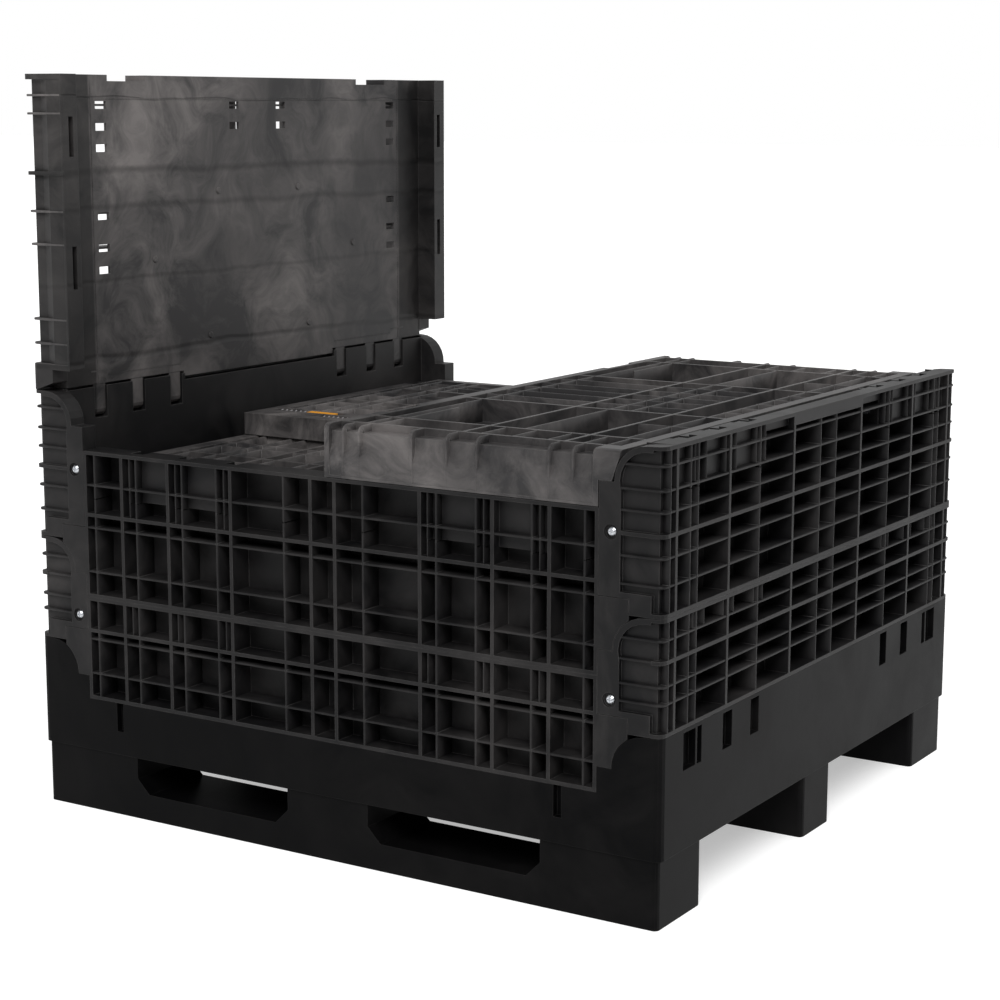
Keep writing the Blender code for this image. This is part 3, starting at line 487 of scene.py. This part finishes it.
def swept_ribs(lines, width, depth, finish, place=None):
    """A plain mesh of ribs along open lines, made by the rib tree and moved to its place."""
    points, edges = [], []
    for line in lines:
        start = len(points)
        points += [tuple(point) for point in line]
        edges += [(start + i, start + i + 1) for i in range(len(line) - 1)]
    lip = bpy.context.scene.box_ribs.lip
    values = {"Width": width, "Depth": depth, "Edge": lip, "Material": finish}
    return made_by(bpy.data.node_groups["moulded ribs"], points, edges, values, place)


def piece(name, meshes, finish, body):
    """Joins meshes of one finish into one piece that rides on a body."""
    bm = bmesh.new()
    for mesh in meshes:
        bm.from_mesh(mesh)
    for face in bm.faces:
        face.material_index = 0
    mesh = bpy.data.meshes.new(name)
    bm.to_mesh(mesh)
    bm.free()
    mesh.materials.append(finish)
    obj = bpy.data.objects.new(name, mesh)
    bpy.context.scene.collection.objects.link(obj)
    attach(obj, body)
    return obj


def mirrored(marks):
    return [side * mark for mark in marks for side in (-1, 1)]


def across(rows, near, far, out):
    return [((near, row, out), (far, row, out)) for row in rows]


def upright(marks, low, high, out):
    return [((mark, low, out), (mark, high, out)) for mark in marks]


def between(floor, face):
    """Middle and depth of a rib that stands from floor to just under face."""
    face -= bpy.context.scene.box_ribs.sink
    return (floor + face) / 2, face - floor


def corner_wraps(levels, face_end, side_x):
    """Lines along a face, round an upright corner and along the end, and their mirror images."""
    face_y = -HALF_W + WRAP_IN
    centre = Vector((side_x - WRAP_RADIUS, face_y + WRAP_RADIUS))
    lines = []
    for level in levels:
        arc = []
        for degrees in (0, 30, 60, 90):
            a = math.radians(degrees)
            x, y = centre.x + WRAP_RADIUS * math.sin(a), centre.y - WRAP_RADIUS * math.cos(a)
            arc.append((x, y, level))
        line = [(face_end, face_y, level), *arc, (side_x, -BEND, level)]
        lines += [line, [(x, -y, z) for x, y, z in line]]
    return lines


class RibSidePanels(bpy.types.Operator):
    """Ribs of the fixed front and back panels"""

    bl_idname = "bulk_box.rib_side_panels"
    bl_label = "Rib the Side Panels"

    def execute(self, context):
        sizes = context.scene.box_ribs
        finish = finish_of("panel plastic")
        floor, knuckle = HALF_W - POCKET, HALF_W - SIDE_KNUCKLE
        deep, deep_t = between(floor, HALF_W)
        shallow, shallow_t = between(knuckle, HALF_W - 0.0002)
        row, row_t = between(floor, HALF_W - ROW_DROP)
        edge = 0.4985
        ledge = SIDE_TOP - 0.080
        marks = mirrored((0.477, 0.386, 0.287, 0.215, 0.0775))
        inner = [m for m in marks if 0.185 < abs(m) < 0.417]
        outer = [m for m in marks if m not in inner]
        tall = upright(marks, SIDE_LOW + GAP, SIDE_MID - GAP, deep)
        tall += upright(marks, SIDE_MID + GAP, ledge, deep)
        tall += upright(outer, ledge - OVERLAP, SIDE_TOP - GAP, deep)
        short = upright(inner, ledge - OVERLAP, SIDE_TOP - GAP, shallow)
        levels = (SIDE_MID - 0.073, SIDE_MID - 0.133, SIDE_TOP - 0.131, SIDE_TOP - 0.207)
        rows = across(levels, -edge, edge, row)
        top_row = SIDE_TOP - 0.058
        low_row = []
        for side in (-1, 1):
            rows += across((top_row,), side * 0.417, side * edge, row)
            low_row += across((top_row,), side * 0.187, side * 0.415, shallow - 0.0001)
        rows += across((top_row,), -0.187, 0.187, row)
        knuckles = mirrored((0.199, 0.301, 0.400))
        fins = upright(knuckles, SIDE_TOP - 0.106, ledge, deep - FIN_DROP)
        low_fins = upright(knuckles, SIDE_MID - 0.055, SIDE_MID - GAP, deep - FIN_DROP)
        high_fins = upright(knuckles, ledge - OVERLAP, SIDE_TOP - GAP, shallow - FIN_DROP)
        for name, turn in (("ribs_front_panels", NO_TURN), ("ribs_back_panels", HALF_TURN)):
            place = turn @ TO_FRONT
            piece(name, [
                swept_ribs(tall, sizes.width, deep_t, finish, place),
                swept_ribs(short, sizes.width, shallow_t, finish, place),
                swept_ribs(rows, sizes.width, row_t, finish, place),
                swept_ribs(low_row, sizes.width, shallow_t, finish, place),
                swept_ribs(fins + low_fins, sizes.fin, deep_t, finish, place),
                swept_ribs(high_fins, sizes.fin, shallow_t, finish, place),
            ], finish, "frame")
        return {"FINISHED"}


class RibEndPanels(bpy.types.Operator):
    """Ribs of the fixed end panels, which run on round the corners"""

    bl_idname = "bulk_box.rib_end_panels"
    bl_label = "Rib the End Panels"

    def execute(self, context):
        sizes = context.scene.box_ribs
        finish = finish_of("panel plastic")
        floor, skin = HALF_L - POCKET, HALF_L - END_KNUCKLE
        deep, deep_t = between(floor, HALF_L)
        row, row_t = between(floor, HALF_L - ROW_DROP)
        thin, thin_t = between(skin, HALF_L)
        thin_row = thin - ROW_DROP
        split = END_PIN.z - 0.027
        low_rows = [END_MID - drop for drop in (0.034, 0.103, 0.130)]
        high_rows = [END_TOP - drop for drop in (0.097, 0.164, 0.206)]
        top_rows = [END_TOP - drop for drop in (0.029, 0.065)]
        face_rows = [END_MID - 0.066, END_TOP - 0.131]
        reach = 0.2335
        marks = mirrored((0.490, 0.466, 0.257))
        tall = upright(marks, END_LOW + GAP, END_MID - GAP, deep)
        tall += upright(marks, END_MID + GAP, split, deep)
        tall += upright(mirrored((0.031,)), END_LOW + GAP, END_MID - GAP, deep)
        tall += upright(mirrored((0.031,)), END_MID + GAP, END_TOP - 0.019, deep)
        short = upright(marks, split - OVERLAP, END_TOP - GAP, thin)
        short += upright(mirrored((0.553,)), END_LOW + GAP, END_TOP - GAP, thin)
        rows = across(low_rows + high_rows, -BEND, BEND, row) + across(top_rows, -reach, reach, row)
        short_rows = []
        for side in (-1, 1):
            short_rows += across(top_rows, side * reach, side * BEND, thin_row)
        knuckles = mirrored((0.239, 0.271, 0.341, 0.376, 0.440, 0.476))
        fins = upright(knuckles, END_MID - 0.031, END_MID - GAP, deep - 0.0005)
        high_fins = upright(knuckles, END_TOP - 0.062, END_TOP - GAP, thin - 0.0005)
        wraps = corner_wraps(low_rows + high_rows + top_rows + face_rows, 0.536, HALF_L - WRAP_IN)
        for name, turn in (("ribs_right_panels", NO_TURN), ("ribs_left_panels", HALF_TURN)):
            place = turn @ TO_END
            piece(name, [
                swept_ribs(tall, sizes.width, deep_t, finish, place),
                swept_ribs(short, sizes.width, thin_t, finish, place),
                swept_ribs(rows, sizes.width, row_t, finish, place),
                swept_ribs(short_rows, sizes.width, thin_t, finish, place),
                swept_ribs(fins, sizes.fin, deep_t, finish, place),
                swept_ribs(high_fins, sizes.fin, thin_t, finish, place),
                swept_ribs(wraps, WRAP_DEPTH, sizes.width, finish, turn),
            ], finish, "frame")
        return {"FINISHED"}


class RibEndWalls(bpy.types.Operator):
    """Ribs of the two folding end walls and of their legs"""

    bl_idname = "bulk_box.rib_end_walls"
    bl_label = "Rib the End Walls"

    def execute(self, context):
        sizes = context.scene.box_ribs
        finish = finish_of("wall plastic")
        top = WALL_TOP - END_PIN.z
        deep, deep_t = between(END_FLOOR, WALL_OUT)
        row, row_t = between(END_FLOOR, WALL_OUT - ROW_DROP)
        low, high = 0.160, top - 0.016
        tall = upright((0.0, *mirrored((0.125, 0.060))), low, high, deep)
        tall += upright(mirrored((0.31,)), 0.062, low, deep)
        tall += upright([0.062 * i for i in range(-2, 3)], 0.062, 0.100, deep)
        long_rows = across((0.0975, 0.2765, top - 0.051), -0.453, 0.453, row)
        long_rows += across((0.2375,), -0.188, 0.188, row)
        levels = (top - 0.051, 0.3075, 0.2515, 0.1895, 0.1275, 0.0885)
        for side in (-1, 1):
            long_rows += across((top - 0.074,), side * 0.300, side * BEND, row)
            long_rows += across(levels, side * 0.453, side * BEND, row)
        drops = (0.003, 0.035, 0.065, 0.227, 0.282, 0.408, 0.449, 0.485)
        legs = corner_wraps([top - drop for drop in drops], -0.0500, WALL_OUT - WRAP_IN)
        for wall in ("wall_left", "wall_right"):
            place = WALL_PLACE[wall]
            piece("ribs_" + wall, [
                swept_ribs(tall, sizes.width, deep_t, finish, place @ TO_END),
                swept_ribs(long_rows, sizes.width, row_t, finish, place @ TO_END),
                swept_ribs(legs, WRAP_DEPTH, sizes.width, finish, place),
            ], finish, wall)
        return {"FINISHED"}


class RibSideWalls(bpy.types.Operator):
    """Ribs of the two folding long walls"""

    bl_idname = "bulk_box.rib_side_walls"
    bl_label = "Rib the Long Walls"

    def execute(self, context):
        sizes = context.scene.box_ribs
        finish = finish_of("wall plastic")
        deep, deep_t = between(SIDE_FLOOR, WALL_OUT)
        row, row_t = between(SIDE_FLOOR, WALL_OUT - ROW_DROP)
        for wall, pin in (("wall_front", FRONT_PIN), ("wall_back", BACK_PIN)):
            foot = 0.046 if wall == "wall_back" else 0.085
            high = WALL_TOP - pin.z - 0.093
            step = (high - foot) / 3
            tall = upright(mirrored((0.477, 0.417, 0.386, 0.287, 0.215, 0.0775)), foot, high, deep)
            levels = [foot + step * part for part in (0.28, 0.5, 1.3, 1.55, 2.25, 2.6)]
            rows = across(levels, -0.497, 0.497, row)
            place = WALL_PLACE[wall] @ TO_BACK
            piece("ribs_" + wall, [
                swept_ribs(tall, sizes.width, deep_t, finish, place),
                swept_ribs(rows, sizes.width, row_t, finish, place),
            ], finish, wall)
        return {"FINISHED"}


class HatchGrips(bpy.types.Operator):
    """Slanted ribs on the grips of the eight latches"""

    bl_idname = "bulk_box.hatch_grips"
    bl_label = "Hatch the Grips"

    def execute(self, context):
        sizes = context.scene.box_ribs
        # The slanted ribs wear the lighter grip finish, a painted highlight.
        finish = finish_of("grip plastic with painted highlight")
        corners = [(side, end) for side in ("front", "back") for end in ("left", "right")]
        grips = (("yellow", 0.432, 0.500, 6), ("blue", 0.291, 0.378, 8))
        for side, end in corners:
            for colour, near, far, count in grips:
                latch = f"{side}_{end}_{colour}"
                tab = middle("latch_tab_" + latch)
                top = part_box("latch_slide_" + latch)[1].z
                sign = 1 if tab.x > 0 else -1
                pitch = (far - near - 0.014) / (count - 1)
                lines = []
                for i in range(count):
                    x = near + 0.003 + pitch * i
                    low = (sign * x, tab.y - 0.0085, top)
                    high = (sign * (x + 0.008), tab.y + 0.0085, top)
                    lines.append((low, high))
                hatch = swept_ribs(lines, sizes.hatch, 0.0032, finish)
                piece("hatch_latch_" + latch, [hatch], finish, "latch_" + latch)
        return {"FINISHED"}


class MarkLeftWall(bpy.types.Operator):
    """Gate marks, pull ribs and tongue steps on the smooth face of the standing wall"""

    bl_idname = "bulk_box.mark_left_wall"
    bl_label = "Mark the Standing Wall"

    def execute(self, context):
        finish = finish_of("wall plastic")
        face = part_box("wall_left")[0].x + END_WALL_T
        lift = 0.0004
        gates = ((0.300, 0.321), (0.150, 0.469), (0.12, 0.205))
        points = [(y, WALL_TOP - drop, lift) for mark, drop in gates for y in (-mark, mark)]
        inward = Matrix.Translation((face, 0, 0)) @ TO_END
        values = {"Radius": 0.0065, "Height": 0.0016, "Material": finish}
        marks = made_by(bpy.data.node_groups["gate marks"], points, [], values, inward)
        top, foot = WALL_TOP - 0.0405, END_TOP + 0.003
        lines = [[(-0.44, top, 0.0), (0.44, top, 0.0)]]
        for side in (-1, 1):
            lines.append([(side * 0.4575, foot, 0.0), (side * 0.4575, WALL_TOP - 0.012, 0.0)])
            for near, far in ((0.236, 0.330), (0.330, 0.432), (0.432, 0.475)):
                step = foot + (0.012 if near < 0.4 else 0.020)
                lines.append([(side * near, step, 0.0), (side * far, step, 0.0)])
        beads = swept_ribs(lines, 0.0024, 0.0016, finish, inward)
        piece("marks_wall_left", [marks, beads], finish, "wall_left")
        return {"FINISHED"}


class TrimBase(bpy.types.Operator):
    """Step lines round the skirt and a joint in each of its long sides"""

    bl_idname = "bulk_box.trim_base"
    bl_label = "Trim the Base"

    def execute(self, context):
        finish = finish_of("base plastic")
        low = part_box("base_deck")[0].z
        edge = HALF_L - INSET
        front = HALF_W - INSET
        radius = 0.0115
        loop = []
        for cx, cy, start in ((1, -1, -90), (1, 1, 0), (-1, 1, 90), (-1, -1, 180)):
            for degrees in (0, 30, 60, 90):
                a = math.radians(start + degrees)
                x = cx * (edge - radius) + radius * math.cos(a)
                y = cy * (front - radius) + radius * math.sin(a)
                loop.append((x, y, low + 0.0045))
        rings = [loop[:9], loop[8:] + loop[:1]]
        beads = swept_ribs(rings, 0.0010, 0.0060, finish)
        level, reach = END_LOW - 0.087, front - 0.030
        steps = [[(x, -reach, level), (x, reach, level)] for x in (-edge, edge)]
        ledges = swept_ribs(steps, 0.0010, 0.0030, finish)
        seams = [
            swept_ribs([[(x, low + 0.010, front), (x, SIDE_LOW - 0.010, front)]],
                       0.0016, 0.0010, finish, turn @ TO_FRONT)
            for x, turn in ((-0.18, NO_TURN), (0.18, HALF_TURN))
        ]
        piece("trim_base_deck", [beads, ledges, *seams], finish, "frame")
        return {"FINISHED"}


class FinishPieces(bpy.types.Operator):
    """Mixes the plastics and the steel and lays them on every moulded part"""

    bl_idname = "bulk_box.finish_pieces"
    bl_label = "Finish the Mouldings"

    def execute(self, context):
        colours = context.scene.box_colours
        flow_group()
        grain_group()
        edge_highlight_group()
        sink_and_shade_group()
        rib_tree()
        boss_tree()
        # edge is the colour of the painted edge highlight; the sixth argument of each plastic is how
        # strongly it shows.
        flow, edge = colours.flow, colours.edge
        # Painted highlight: the grip hatch takes the wall colour twelve times lighter.
        grip = [12.0 * part for part in colours.wall]
        plastic("panel plastic", colours.panel, flow, edge, 0.14, 0.50, 0.46, specular=0.18)
        plastic("wall plastic", colours.wall, flow, edge, 0.90, 0.70, 0.46, scale=4.5,
                specular=0.25)
        plastic("base plastic", colours.base, flow, edge, 0.03, 0.16, 0.40, ripple=1.0,
                specular=0.05)
        plastic("grip plastic with painted highlight", grip, flow, edge, 0.2, 0.2, 0.5)
        plastic("amber plastic", colours.amber, colours.amber, edge, 0.2, 0.1, 0.40, specular=0.5)
        plastic("blue plastic", colours.blue, colours.blue, edge, 0.2, 0.1, 0.40, specular=0.5)
        zinc("zinc steel", colours.steel)
        # A copy of the wall plastic for the standing wall, with painted shade along its sink bands
        # and side strips.
        shaded_upright_wall = finish_of("wall plastic").copy()
        shaded_upright_wall.name = "upright wall plastic with painted shade"
        shade_upright_wall(shaded_upright_wall)
        for name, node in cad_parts.items():
            if name.startswith(("screw", "pin")):
                finish = "zinc steel"
            elif name.startswith("latch_tab"):
                finish = "amber plastic" if name.endswith("yellow") else "blue plastic"
            elif name.startswith(("base", "runner")):
                finish = "base plastic"
            elif name == "wall_left":
                finish = "upright wall plastic with painted shade"
            elif name.startswith(("wall", "latch_slide")):
                finish = "wall plastic"
            else:
                finish = "panel plastic"
            if not node.data.materials:
                node.data.materials.append(None)
            for index in range(len(node.data.materials)):
                node.data.materials[index] = finish_of(finish)
        return {"FINISHED"}


# ---- stage ----
CAMERA_PLACE = (2.0760291500, -3.3572871808, 1.2059801986)
CAMERA_YAW = 0.5595861600649227
CAMERA_PITCH = 0.17498667670542825
CAMERA_ROLL = 0.001788130259994005


def soft_sun(name, place, strength, spread):
    """A wide sun that shines from a place towards the middle of the container."""
    data = bpy.data.lights.new(name, "SUN")
    data.energy, data.angle = strength, math.radians(spread)
    obj = bpy.data.objects.new(name, data)
    obj.location = place
    obj.rotation_euler = (-Vector(place)).to_track_quat("-Z", "Y").to_euler()
    bpy.context.scene.collection.objects.link(obj)
    return obj


def studio_world():
    """White behind the container and dimmer in front of it; the camera always sees white."""
    world = bpy.data.worlds.new("studio")
    world.use_nodes = True
    tree = world.node_tree
    back = tree.nodes["Background"]
    path = add(tree, "ShaderNodeLightPath")
    place = add(tree, "ShaderNodeTexCoord").outputs["Generated"]
    ways = add(tree, "ShaderNodeSeparateXYZ", {0: place})
    depth = ramp(tree, ways.outputs["Y"], -0.2, 0.8, 0.16, 0.95)
    seen = calc(tree, "MAXIMUM", depth, path.outputs["Is Camera Ray"])
    back.inputs["Color"].default_value = (1.0, 1.0, 1.0, 1.0)
    tree.links.new(seen, back.inputs["Strength"])
    return world


class BuildStage(bpy.types.Operator):
    """Pale floor, soft lights and the camera"""

    bl_idname = "bulk_box.build_stage"
    bl_label = "Build the Stage"

    def execute(self, context):
        settings = context.scene.box_stage
        scene = context.scene
        half = settings.floor / 2
        mesh = bpy.data.meshes.new("floor")
        corners = [(-half, -half, 0), (half, -half, 0), (half, half, 0), (-half, half, 0)]
        mesh.from_pydata(corners, [], [(0, 1, 2, 3)])
        floor = bpy.data.objects.new("floor", mesh)
        scene.collection.objects.link(floor)
        pale = bpy.data.materials.new("pale floor")
        pale.use_nodes = True
        shader = pale.node_tree.nodes["Principled BSDF"]
        shader.inputs["Base Color"].default_value = (0.75, 0.75, 0.75, 1.0)
        shader.inputs["Roughness"].default_value = 0.9
        shader.inputs["Specular IOR Level"].default_value = 0.1
        shader.inputs["Emission Color"].default_value = (1.0, 1.0, 1.0, 1.0)
        shader.inputs["Emission Strength"].default_value = settings.glow
        mesh.materials.append(pale)
        scene.world = studio_world()
        soft_sun("key", (1.4, -2.4, 2.6), settings.key, 30.0)
        soft_sun("fill", (-2.6, -1.2, 1.7), settings.fill, 40.0)
        scene.view_settings.view_transform = "Standard"
        camera = bpy.data.objects.new("camera", bpy.data.cameras.new("camera"))
        camera.data.sensor_width, camera.data.lens = 36.0, settings.lens
        camera.data.clip_start, camera.data.clip_end = 0.05, 100.0
        yaw, pitch, roll = CAMERA_YAW, CAMERA_PITCH, CAMERA_ROLL
        level = math.cos(pitch)
        ahead = Vector((-math.sin(yaw) * level, math.cos(yaw) * level, -math.sin(pitch)))
        side = Vector((math.cos(yaw), math.sin(yaw), 0))
        up = side.cross(ahead)
        right = side * math.cos(roll) + up * math.sin(roll)
        up = up * math.cos(roll) - side * math.sin(roll)
        turn = Matrix((right, up, -ahead)).transposed().to_4x4()
        camera.matrix_world = Matrix.Translation(CAMERA_PLACE) @ turn
        scene.collection.objects.link(camera)
        scene.camera = camera
        return {"FINISHED"}


STEPS = (
    FinishPieces, RibSidePanels, RibEndPanels, RibEndWalls, RibSideWalls, HatchGrips,
    MarkLeftWall, TrimBase, BuildStage,
)


class BulkBoxPanel(bpy.types.Panel):
    """Lists the steps that dress the container"""

    bl_idname = "VIEW3D_PT_bulk_box"
    bl_label = "Bulk Container"
    bl_space_type = "VIEW_3D"
    bl_region_type = "UI"
    bl_category = "Bulk Container"

    def draw(self, context):
        for group in (context.scene.box_ribs, context.scene.box_colours, context.scene.box_stage):
            for name in group.bl_rna.properties.keys():
                if name not in ("rna_type", "name"):
                    self.layout.prop(group, name)
        for step in STEPS:
            self.layout.operator(step.bl_idname)


CLASSES = (RibSizes, FinishColours, StageSettings, *STEPS, BulkBoxPanel)


def register():
    for cls in CLASSES:
        bpy.utils.register_class(cls)
    bpy.types.Scene.box_ribs = bpy.props.PointerProperty(type=RibSizes)
    bpy.types.Scene.box_colours = bpy.props.PointerProperty(type=FinishColours)
    bpy.types.Scene.box_stage = bpy.props.PointerProperty(type=StageSettings)


def unregister():
    del bpy.types.Scene.box_ribs, bpy.types.Scene.box_colours, bpy.types.Scene.box_stage
    for cls in reversed(CLASSES):
        bpy.utils.unregister_class(cls)


def main():
    register()
    bpy.ops.bulk_box.finish_pieces()
    bpy.ops.bulk_box.rib_side_panels()
    bpy.ops.bulk_box.rib_end_panels()
    bpy.ops.bulk_box.rib_end_walls()
    bpy.ops.bulk_box.rib_side_walls()
    bpy.ops.bulk_box.hatch_grips()
    bpy.ops.bulk_box.mark_left_wall()
    bpy.ops.bulk_box.trim_base()
    bpy.ops.bulk_box.build_stage()


if __name__ == "__main__":
    main()
